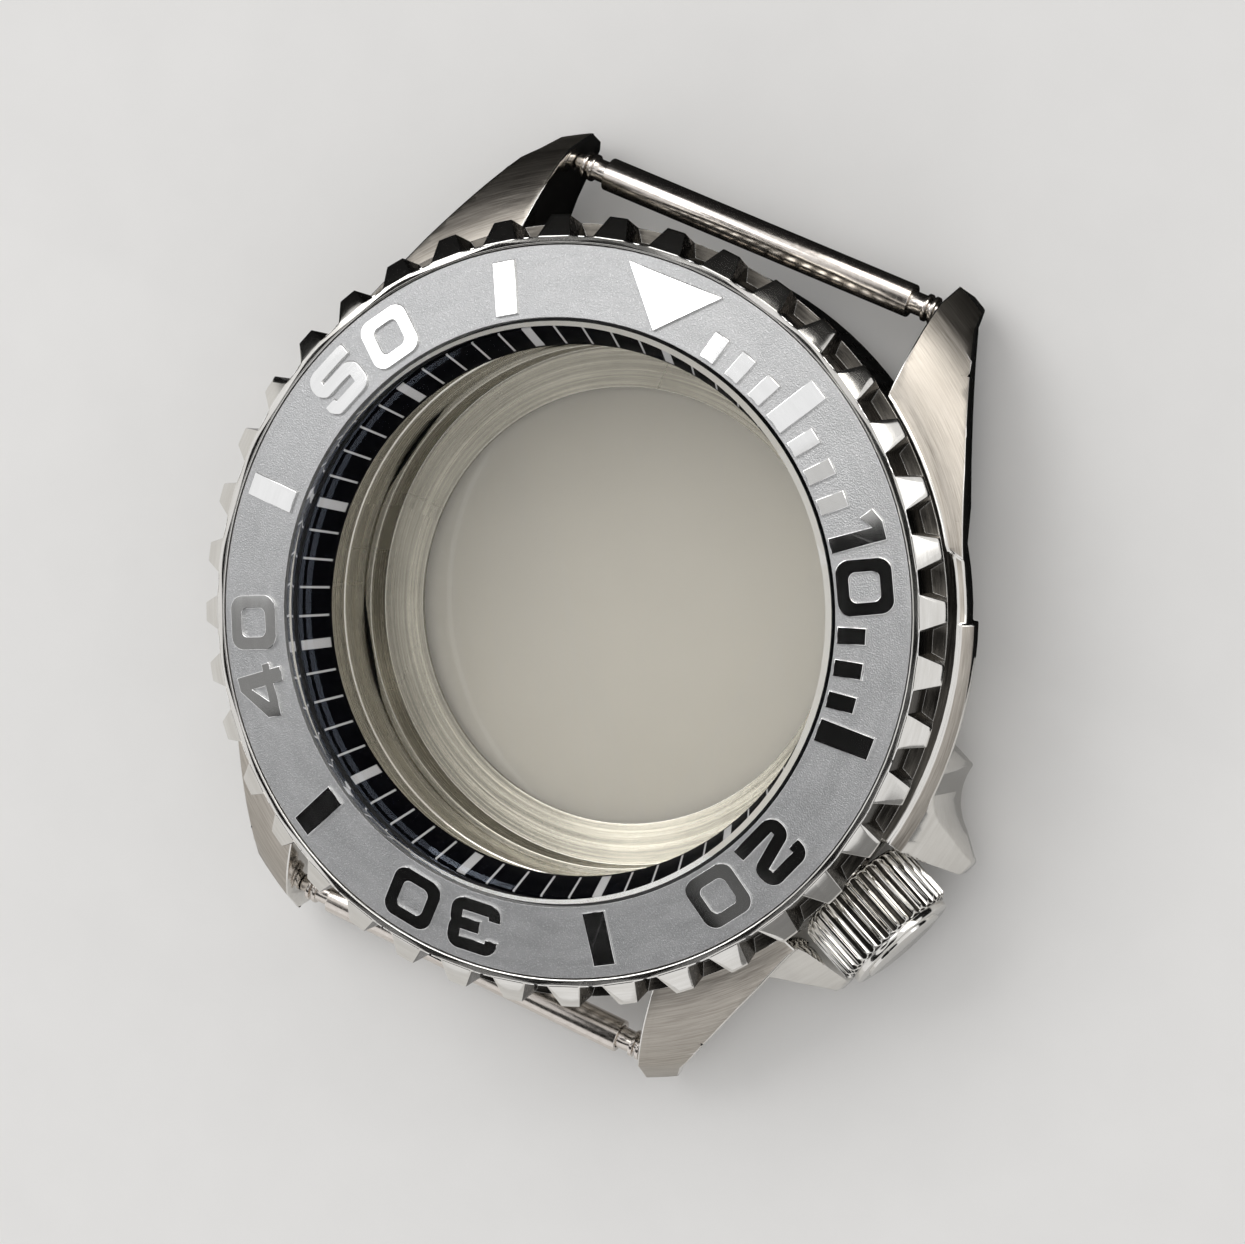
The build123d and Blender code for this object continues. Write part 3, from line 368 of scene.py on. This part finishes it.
def makeEdgeWearAndHighlight():
    # Mask of the outer edges, where a finish is worn smoother and painted brighter as a highlight
    group, start, end = newGroup("edgeWearAndHighlight", [("Width", "Float")], [("Edge", "Float")])
    rounded = addNode(group, "ShaderNodeBevel", samples=6)
    group.links.new(start["Width"], rounded.inputs["Radius"])
    flat = addNode(group, "ShaderNodeNewGeometry")
    dot = addNode(group, "ShaderNodeVectorMath", {0: rounded.outputs[0], 1: flat.outputs["Normal"]},
                  operation="DOT_PRODUCT")
    group.links.new(remap(group, dot.outputs["Value"], *edgeRange, soft=True), end["Edge"])
    return group


polarPlace = makePolarPlace()
ringGrain = makeRingGrain(polarPlace)
handling = makeHandling(handlingLook)
edgeWearAndHighlight = makeEdgeWearAndHighlight()

# Finishes


def startMaterial(name):
    material = bpy.data.materials.new(name)
    material.use_nodes = True
    tree = material.node_tree
    place = addNode(tree, "ShaderNodeTexCoord").outputs["Object"]
    return material, tree, tree.nodes["Principled BSDF"], place


def useGroup(tree, group, **inputs):
    return addNode(tree, "ShaderNodeGroup", inputs, node_tree=group).outputs


def bump(tree, height, depth):
    inputs = {"Height": height, "Distance": depth * mm, "Strength": 1.0}
    return addNode(tree, "ShaderNodeBump", inputs).outputs["Normal"]


steelWear = {
    "grainRange": (0.25, 0.75), "smudgeTone": 0.86,
    "sparkColour": (0.92, 0.92, 0.92), "sparkRange": (0.52, 0.72),
    "edgeWearHighlightColour": (0.93, 0.92, 0.90), "edgeRoughness": 0.6,
    "scratches": 0.3, "scratchRoughness": 0.15, "scratchDepth": 0.25,
}

plainSteel = {  # what a finish has where it names nothing else
    "metallic": 1.0, "anisotropy": 0.0, "sand": 0.0, "lineDepth": 0.3,
    "smudge": 0.3, "smudgeRough": 0.05, "edgeWearAndHighlight": 0.6, "edgeWidth": 0.08,
}


def steelMaterial(name, finish, wear=steelWear):
    # Metal with lines round the case, grain, smudges, scratches and worn edges with a painted highlight,
    # each as strong as asked
    look = {**plainSteel, **finish}
    material, tree, shader, place = startMaterial(name)
    marks = useGroup(tree, handling, Vector=place, Scratches=wear["scratches"])
    edge = useGroup(tree, edgeWearAndHighlight, Width=look["edgeWidth"] * mm)["Edge"]
    lines = {"Vector": place, "Fineness": look["lineFineness"], "Sweep": look["lineSweep"]}
    grain = useGroup(tree, ringGrain, **lines)["Grain"]
    colour = mixColour(tree, remap(tree, grain, *noiseSpread), look["darkColour"], look["lightColour"])
    smudgeColour = [part * wear["smudgeTone"] for part in look["darkColour"]]
    smudged = calc(tree, "MULTIPLY", marks["Smudge"], look["smudge"])
    colour = mixColour(tree, smudged, colour, smudgeColour)
    if look["sand"]:
        inputs = {"Vector": place, "Scale": look["sandScale"] / mm, "Detail": 2.0}
        sand = addNode(tree, "ShaderNodeTexNoise", inputs)
        spark = remap(tree, sand.outputs["Fac"], *wear["sparkRange"], soft=True)
        colour = mixColour(tree, calc(tree, "MULTIPLY", spark, look["sparkle"]), colour, wear["sparkColour"])
    # Edges painted brighter: partly wear, partly a painted highlight
    edgeWearHighlight = calc(tree, "MULTIPLY", edge, look["edgeWearAndHighlight"])
    colour = mixColour(tree, edgeWearHighlight, colour, wear["edgeWearHighlightColour"])
    tree.links.new(colour, shader.inputs["Base Color"])
    rough = remap(tree, grain, *wear["grainRange"], *look["roughness"])
    rough = calc(tree, "ADD", rough, calc(tree, "MULTIPLY", marks["Smudge"], look["smudgeRough"]))
    rough = calc(tree, "ADD", rough, calc(tree, "MULTIPLY", marks["Scratch"], wear["scratchRoughness"]))
    edgeEase = remap(tree, edge, 0.0, 1.0, 1.0, wear["edgeRoughness"])
    rough = calc(tree, "MULTIPLY", rough, edgeEase, clamp=True)
    tree.links.new(rough, shader.inputs["Roughness"])
    height = calc(tree, "MULTIPLY", grain, look["lineDepth"])
    height = calc(tree, "SUBTRACT", height, calc(tree, "MULTIPLY", marks["Scratch"], wear["scratchDepth"]))
    if look["sand"]:
        height = calc(tree, "ADD", height, calc(tree, "MULTIPLY", sand.outputs["Fac"], look["sand"]))
    tree.links.new(bump(tree, height, look["relief"]), shader.inputs["Normal"])
    shader.inputs["Metallic"].default_value = look["metallic"]
    if look["anisotropy"]:
        shader.inputs["Anisotropic"].default_value = look["anisotropy"]
        around = addNode(tree, "ShaderNodeTangent", direction_type="RADIAL", axis="Z")
        tree.links.new(around.outputs[0], shader.inputs["Tangent"])
    return material


brushedSteel = steelMaterial("brushedSteel", {
    "darkColour": (0.30, 0.272, 0.235), "lightColour": (0.56, 0.52, 0.465), "roughness": (0.28, 0.44),
    "lineFineness": 14.0, "lineSweep": 9.0, "lineDepth": 1.0, "relief": 0.006, "anisotropy": 0.55,
    "smudge": 0.2, "edgeWearAndHighlight": 0.7, "edgeWidth": 0.1,
})
facetSteel = steelMaterial("facetSteel", {
    "darkColour": (0.32, 0.292, 0.252), "lightColour": (0.54, 0.505, 0.452), "roughness": (0.34, 0.50),
    "lineFineness": 12.0, "lineSweep": 9.0, "lineDepth": 1.0, "relief": 0.006, "anisotropy": 0.5,
    "smudge": 0.3, "edgeWearAndHighlight": 0.7, "edgeWidth": 0.1,
})
polishedSteel = steelMaterial("polishedSteel", {
    "darkColour": (0.66, 0.64, 0.60), "lightColour": (0.78, 0.765, 0.73), "roughness": (0.06, 0.12),
    "lineFineness": 3.0, "lineSweep": 5.0, "lineDepth": 0.3, "relief": 0.001, "smudge": 0.25,
    "smudgeRough": 0.06, "edgeWearAndHighlight": 0.8, "edgeWidth": 0.06,
})
boreSteel = steelMaterial("boreSteel", {
    "darkColour": (0.23, 0.22, 0.19), "lightColour": (0.58, 0.555, 0.48), "roughness": (0.14, 0.30),
    "lineFineness": 7.0, "lineSweep": 0.5, "lineDepth": 1.0, "relief": 0.006, "smudge": 0.25,
    "edgeWearAndHighlight": 0.8, "edgeWidth": 0.06,
})
blastedSteel = steelMaterial("blastedSteel", {
    "darkColour": (0.40, 0.402, 0.404), "lightColour": (0.48, 0.482, 0.484), "roughness": (0.38, 0.48),
    "lineFineness": 1.2, "lineSweep": 6.0, "lineDepth": 0.1, "relief": 0.03, "sand": 1.0, "sandScale": 13.0,
    "sparkle": 0.3, "smudge": 0.1, "edgeWearAndHighlight": 0.5, "edgeWidth": 0.05, "metallic": 0.95,
})
# Near black steel: painted shade on the step under the bezel and in the bezel's notches
paintedShadeSteel = steelMaterial("paintedShadeSteel", {
    "darkColour": (0.035, 0.032, 0.028), "lightColour": (0.13, 0.12, 0.105), "roughness": (0.16, 0.30),
    "lineFineness": 5.0, "lineSweep": 8.0, "lineDepth": 0.5, "relief": 0.003, "smudge": 0.4,
    "edgeWearAndHighlight": 0.4, "edgeWidth": 0.05,
})
# Near black steel: painted shade in the crown's grooves
paintedGrooveShadeSteel = steelMaterial("paintedGrooveShadeSteel", {
    "darkColour": (0.012, 0.011, 0.010), "lightColour": (0.05, 0.045, 0.04), "roughness": (0.25, 0.40),
    "lineFineness": 5.0, "lineSweep": 8.0, "lineDepth": 0.5, "relief": 0.003, "smudge": 0.4,
    "edgeWearAndHighlight": 0.3, "edgeWidth": 0.03,
})
markSteel = steelMaterial("markSteel", {
    "darkColour": (0.84, 0.84, 0.83), "lightColour": (0.90, 0.90, 0.89), "roughness": (0.05, 0.09),
    "lineFineness": 2.0, "lineSweep": 5.0, "lineDepth": 0.3, "relief": 0.0006, "smudge": 0.15,
    "smudgeRough": 0.05, "edgeWearAndHighlight": 0.5, "edgeWidth": 0.04,
})
barSteel = steelMaterial("barSteel", {
    "darkColour": (0.60, 0.55, 0.50), "lightColour": (0.76, 0.71, 0.66), "roughness": (0.12, 0.22),
    "lineFineness": 6.0, "lineSweep": 60.0, "lineDepth": 0.4, "relief": 0.002, "smudge": 0.3,
    "edgeWearAndHighlight": 0.7, "edgeWidth": 0.05,
})
springSteel = steelMaterial("springSteel", {
    "darkColour": (0.38, 0.38, 0.38), "lightColour": (0.52, 0.52, 0.51), "roughness": (0.28, 0.40),
    "lineFineness": 6.0, "lineSweep": 30.0, "relief": 0.002,
})


def softMaterial(name, look):
    # Rubber or adhesive with a fine grain
    material, tree, shader, place = startMaterial(name)
    inputs = {"Vector": place, "Scale": look["grainScale"] / mm, "Detail": 3.0}
    grain = addNode(tree, "ShaderNodeTexNoise", inputs).outputs["Fac"]
    marks = useGroup(tree, handling, Vector=place)
    colour = mixColour(tree, remap(tree, grain, *noiseSpread), look["darkColour"], look["lightColour"])
    tree.links.new(colour, shader.inputs["Base Color"])
    rough = remap(tree, grain, *noiseSpread, *look["roughness"])
    smudgeRough = calc(tree, "MULTIPLY", marks["Smudge"], look["smudgeRough"])
    rough = calc(tree, "ADD", rough, smudgeRough, clamp=True)
    tree.links.new(rough, shader.inputs["Roughness"])
    tree.links.new(bump(tree, grain, look["relief"]), shader.inputs["Normal"])
    return material


blackRubber = softMaterial("blackRubber", {
    "darkColour": (0.015, 0.015, 0.016), "lightColour": (0.030, 0.030, 0.032), "roughness": (0.5, 0.65),
    "grainScale": 9.0, "relief": 0.003, "smudgeRough": 0.06,
})
paleAdhesive = softMaterial("paleAdhesive", {
    "darkColour": (0.70, 0.67, 0.58), "lightColour": (0.80, 0.77, 0.69), "roughness": (0.4, 0.5),
    "grainScale": 4.0, "relief": 0.003, "smudgeRough": 0.06,
})


def glassMaterial(name, look):
    material, tree, shader, place = startMaterial(name)
    marks = useGroup(tree, handling, Vector=place)
    shader.inputs["Base Color"].default_value = (*look["colour"], 1.0)
    shader.inputs["IOR"].default_value = look["ior"]
    shader.inputs["Transmission Weight"].default_value = 1.0
    shader.inputs["Specular Tint"].default_value = (*look["glint"], 1.0)
    haze = calc(tree, "MULTIPLY", marks["Smudge"], look["haze"])
    tree.links.new(haze, shader.inputs["Roughness"])
    # Light passes straight through to what lies under the glass
    clear = addNode(tree, "ShaderNodeBsdfTransparent", {"Color": (*look["letsThrough"], 1.0)})
    rays = addNode(tree, "ShaderNodeLightPath").outputs
    through = calc(tree, "MAXIMUM", rays["Is Shadow Ray"], rays["Is Diffuse Ray"])
    blend = addNode(tree, "ShaderNodeMixShader", {0: through, 1: shader.outputs[0], 2: clear.outputs[0]})
    tree.links.new(blend.outputs[0], tree.nodes["Material Output"].inputs["Surface"])
    return material


crystalGlass = glassMaterial("crystalGlass", {
    "colour": (0.99, 0.99, 0.985), "ior": 1.55, "glint": (0.7, 0.8, 1.0), "haze": 0.02,
    "letsThrough": (1.0, 1.0, 1.0),
})
windowGlass = glassMaterial("windowGlass", {
    "colour": (1.0, 0.99, 0.96), "ior": 1.5, "glint": (0.9, 0.95, 1.0), "haze": 0.02,
    "letsThrough": (1.0, 0.99, 0.96),
})

minuteRing = {
    "lacquer": (0.002, 0.002, 0.003),
    "lines": (0.62, 0.62, 0.63),
    "inner": 13.95, "outer": 14.88,  # the lines' ends, from the middle of the case
    "minutes": (60, 0.12), "hours": (12, 0.52),  # how many lines, and their width
    "softness": 0.02,
    "grainScale": 9.0, "grainDepth": 0.1, "relief": 0.02,
    "lacquerRoughness": 0.42, "lineRoughness": 0.55, "grainRoughness": 0.1,
    "gloss": 0.01,
}


def minuteRingMaterial(look):
    material, tree, shader, place = startMaterial("minuteRingLacquer")
    polar = useGroup(tree, polarPlace, Vector=place)
    inputs = {"Vector": place, "Scale": look["grainScale"] / mm, "Detail": 2.0}
    grain = addNode(tree, "ShaderNodeTexNoise", inputs).outputs["Fac"]
    soft = look["softness"]
    total = None
    for count, width in (look["minutes"], look["hours"]):
        step = 2 * pi / count
        # Two whole turns more keep the angle above zero
        turned = calc(tree, "ADD", polar["Angle"], pi / 2 + step / 2 + 4 * pi)
        offset = calc(tree, "SUBTRACT", calc(tree, "MODULO", turned, step), step / 2)
        away = calc(tree, "MULTIPLY", calc(tree, "ABSOLUTE", offset), polar["Radius"])
        line = remap(tree, away, width / 2 + soft, width / 2 - soft, soft=True)
        total = line if total is None else calc(tree, "MAXIMUM", total, line)
    start = remap(tree, polar["Radius"], look["inner"] - soft, look["inner"] + soft, soft=True)
    end = remap(tree, polar["Radius"], look["outer"] + soft, look["outer"] - soft, soft=True)
    total = calc(tree, "MULTIPLY", calc(tree, "MULTIPLY", start, end), total)
    tree.links.new(mixColour(tree, total, look["lacquer"], look["lines"]), shader.inputs["Base Color"])
    rough = calc(tree, "ADD", remap(tree, total, 0.0, 1.0, look["lacquerRoughness"], look["lineRoughness"]),
                 calc(tree, "MULTIPLY", grain, look["grainRoughness"]))
    tree.links.new(rough, shader.inputs["Roughness"])
    shader.inputs["Specular IOR Level"].default_value = look["gloss"]
    height = calc(tree, "ADD", total, calc(tree, "MULTIPLY", grain, look["grainDepth"]))
    tree.links.new(bump(tree, height, look["relief"]), shader.inputs["Normal"])
    return material


ringLacquer = minuteRingMaterial(minuteRing)
print("stage 4: finishes")

# Pieces: copies of the CAD shapes with the fine rounded edges of real ones

copying = {"weld": 0.0005, "flatAngle": 0.4, "edgeSteps": 2, "smoothAngle": 35}


def applyAll(piece):
    makeActive(piece)
    for modifier in list(piece.modifiers):
        bpy.ops.object.modifier_apply(modifier=modifier.name)


def editAll(piece):
    makeActive(piece)
    bpy.ops.object.mode_set(mode="EDIT")
    bpy.ops.mesh.select_all(action="SELECT")


def leaveEdit():
    bpy.ops.object.mode_set(mode="OBJECT")


def copyOfNode(nodeName, pieceName):
    mesh = cadNodes[nodeName].data.copy()
    mesh.name = pieceName
    mesh.materials.clear()
    piece = bpy.data.objects.new(pieceName, mesh)
    bpy.context.scene.collection.objects.link(piece)
    editAll(piece)
    bpy.ops.mesh.remove_doubles(threshold=copying["weld"] * mm)
    bpy.ops.mesh.dissolve_limited(angle_limit=radians(copying["flatAngle"]))
    leaveEdit()
    makeActive(piece)
    bpy.ops.mesh.customdata_custom_splitnormals_clear()
    return piece


def roundEdges(piece, width, sharpAngle=25.0, edgeSlot=-1):
    if width:
        edges = piece.modifiers.new("edges", "BEVEL")
        edges.width = width * mm
        edges.segments = copying["edgeSteps"]
        edges.limit_method = "ANGLE"
        edges.angle_limit = radians(sharpAngle)
        edges.use_clamp_overlap = False
        edges.material = edgeSlot
        applyAll(piece)
    makeActive(piece)
    bpy.ops.object.shade_smooth_by_angle(angle=radians(copying["smoothAngle"]))


def finishPiece(piece, nodeName):
    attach(piece, cadNodes[nodeName]["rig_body"])
    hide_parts(nodeName)


# The middle: brushed lug tops, darker end facets, polished flanks and edges, a turned bore, and painted
# shade on the step under the bezel

middle = {
    "edge": 0.10, "edgeAngle": 28,
    "boreRadius": 16.2, "boreOverrun": 0.5,
    "deckRadius": 20.3, "deckHeight": 6.2,
    "lugSide": 11, "lugRoot": 8, "shoulderStart": 19.7, "brushedUp": 0.6,
    "facetStart": 17, "facetUp": 0.25, "facetOut": 0.5,
}


def dressMiddle(look):
    piece = copyOfNode("mid_case", "caseMiddle")
    finishes = [polishedSteel, brushedSteel, facetSteel, boreSteel, paintedShadeSteel]
    for finish in finishes:
        piece.data.materials.append(finish)
    for face in piece.data.polygons:
        centre, normal = face.center / mm, face.normal
        radius = hypot(centre.x, centre.y)
        reach = max(piece.data.vertices[corner].co.xy.length for corner in face.vertices) / mm
        inBore = radius < look["boreRadius"] and reach < look["boreRadius"] + look["boreOverrun"]
        onDeck = reach < look["deckRadius"] and centre.z > look["deckHeight"]
        onLug = abs(centre.x) > look["lugSide"] and abs(centre.y) > look["lugRoot"]
        onFacet = abs(centre.y) > look["facetStart"] and abs(normal.y) > look["facetOut"]
        onShoulder = radius > look["shoulderStart"]
        finish = polishedSteel
        if inBore:
            finish = boreSteel
        # the step under the bezel's overhang gets painted shadow
        elif onDeck:
            finish = paintedShadeSteel
        elif onLug and normal.z > look["brushedUp"]:
            finish = brushedSteel
        elif onFacet and normal.z > look["facetUp"]:
            finish = facetSteel
        elif onShoulder and normal.z > look["brushedUp"]:
            finish = brushedSteel
        face.material_index = finishes.index(finish)
    roundEdges(piece, look["edge"], sharpAngle=look["edgeAngle"], edgeSlot=0)
    finishPiece(piece, "mid_case")


dressMiddle(middle)

# The bezel, with painted shade on the floors and walls of its notches, and the insert with its polished
# marks

bezelLook = {
    "edge": 0.045, "edgeAngle": 25,
    "notchFloor": 9.6, "rimRadius": 19.45, "margin": 0.05, "rimMargin": 0.1,
    "floorUp": 0.9, "wallUp": 0.3, "wallAside": 0.6,
}


def dressBezel(look):
    piece = copyOfNode("bezel", "turningBezel")
    piece.data.materials.append(polishedSteel)
    piece.data.materials.append(paintedShadeSteel)
    for face in piece.data.polygons:
        centre, normal = face.center / mm, face.normal
        radius = hypot(centre.x, centre.y)
        aside = abs(normal.x * centre.y - normal.y * centre.x) / radius
        atGrip = radius > look["rimRadius"] - look["margin"]
        inNotch = atGrip and centre.z > look["notchFloor"] - look["margin"]
        floor = normal.z > look["floorUp"] and centre.z < look["notchFloor"] + look["margin"]
        upright = abs(normal.z) < look["wallUp"]
        wall = upright and (aside > look["wallAside"] or radius < look["rimRadius"] + look["rimMargin"])
        # notch floors and walls get painted shade
        if inNotch and (floor or wall):
            face.material_index = 1
    roundEdges(piece, look["edge"], sharpAngle=look["edgeAngle"])
    finishPiece(piece, "bezel")


insertLook = {
    "edge": 0.035, "edgeAngle": 30,
    "radius": 19.0, "rimMargin": 0.01,
    "slope": 0.2095, "slopeSlack": 4,  # rise towards the middle for each millimetre, and degrees off it
    "markFloor": 0.03,
}


def slopeWay(spot, slope):
    level = hypot(spot.x, spot.y)
    return Vector((spot.x / level * slope, spot.y / level * slope, 1.0)).normalized()


def smoothSlope(piece, look):
    # The insert's face and the tops of its marks shade as parts of one cone
    mesh = piece.data
    slope = look["slope"]
    ways = [corner.vector.copy() for corner in mesh.corner_normals]
    for face in mesh.polygons:
        if face.normal.dot(slopeWay(face.center, slope)) > cos(radians(look["slopeSlack"])):
            for corner in face.loop_indices:
                ways[corner] = slopeWay(mesh.vertices[mesh.loops[corner].vertex_index].co, slope)
    mesh.normals_split_custom_set(ways)


def dressInsert(look):
    piece = copyOfNode("bezel_insert", "slopingInsert")
    piece.data.materials.append(blastedSteel)
    piece.data.materials.append(markSteel)
    rim = (look["radius"] - look["rimMargin"]) * mm
    top = max(vertex.co.z for vertex in piece.data.vertices if hypot(vertex.co.x, vertex.co.y) > rim) / mm
    for face in piece.data.polygons:
        centre = face.center / mm
        ground = top + (look["radius"] - hypot(centre.x, centre.y)) * look["slope"]
        if centre.z > ground + look["markFloor"]:
            face.material_index = 1
    roundEdges(piece, look["edge"], sharpAngle=look["edgeAngle"])
    smoothSlope(piece, look)
    finishPiece(piece, "bezel_insert")


dressBezel(bezelLook)
dressInsert(insertLook)

# The crown: bright ridges with painted shade in the grooves between them

crownLook = {
    "edge": 0.03,
    "angle": -24.0,  # from 3 o'clock
    "height": 4.9, "gripStart": 19.95, "gripEnd": 23.55, "grooveFloor": 3.0, "grooveTop": 3.15,
}


def dressCrown(look):
    piece = copyOfNode("crown_shell", "flutedCrown")
    piece.data.materials.append(polishedSteel)
    piece.data.materials.append(paintedGrooveShadeSteel)
    outward = Vector((cos(radians(look["angle"])), sin(radians(look["angle"])), 0.0))
    for face in piece.data.polygons:
        spot = face.center / mm - Vector((0, 0, look["height"]))
        along = spot.dot(outward)
        reach = (spot - outward * along).length
        inGrip = look["gripStart"] < along < look["gripEnd"]
        # groove faces get painted shade
        if inGrip and look["grooveFloor"] < reach < look["grooveTop"]:
            face.material_index = 1
    roundEdges(piece, look["edge"], edgeSlot=0)
    finishPiece(piece, "crown_shell")


dressCrown(crownLook)

# The spring bars, the glass, the minute ring and the case back

smallPieces = [
    # node, piece, finish, slot, edge width
    ("bar_12_tube", "topBarTube", barSteel, "bar_steel", 0.05),
    ("bar_6_tube", "lowBarTube", barSteel, "bar_steel", 0.05),
    ("bar_12_left_pin", "topBarLeftPin", barSteel, "bar_steel", 0.03),
    ("bar_12_right_pin", "topBarRightPin", barSteel, "bar_steel", 0.03),
    ("bar_6_left_pin", "lowBarLeftPin", barSteel, "bar_steel", 0.03),
    ("bar_6_right_pin", "lowBarRightPin", barSteel, "bar_steel", 0.03),
    ("crystal", "flatCrystal", crystalGlass, "crystal_glass", 0.0),
    ("back_glass", "backWindow", windowGlass, "crystal_glass", 0.0),
    ("chapter_ring", "minuteRing", ringLacquer, "ring_black", 0.0),
    ("case_back", "screwBack", boreSteel, "case_steel", 0.06),
    ("crystal_gasket", "crystalSeal", blackRubber, "seal_rubber", 0.0),
]
for nodeName, pieceName, finish, slotName, edge in smallPieces:
    piece = copyOfNode(nodeName, pieceName)
    piece.data.materials.append(finish)
    roundEdges(piece, edge)
    finishPiece(piece, nodeName)

# Hidden pieces keep their CAD shape and get a finish

hiddenPieces = {
    "insert_adhesive": paleAdhesive, "bezel_gasket": blackRubber, "click_spring": springSteel,
    "back_glass_gasket": blackRubber, "back_seal": blackRubber, "crown_tube": barSteel,
    "crown_sleeve": barSteel, "crown_washer": blackRubber, "crown_core": barSteel, "core_seals": blackRubber,
    "crown_spring": springSteel, "bar_12_spring": springSteel, "bar_6_spring": springSteel,
}
for nodeName, finish in hiddenPieces.items():
    for slot in cadNodes[nodeName].material_slots:
        slot.material = finish
print("stage 5: pieces")
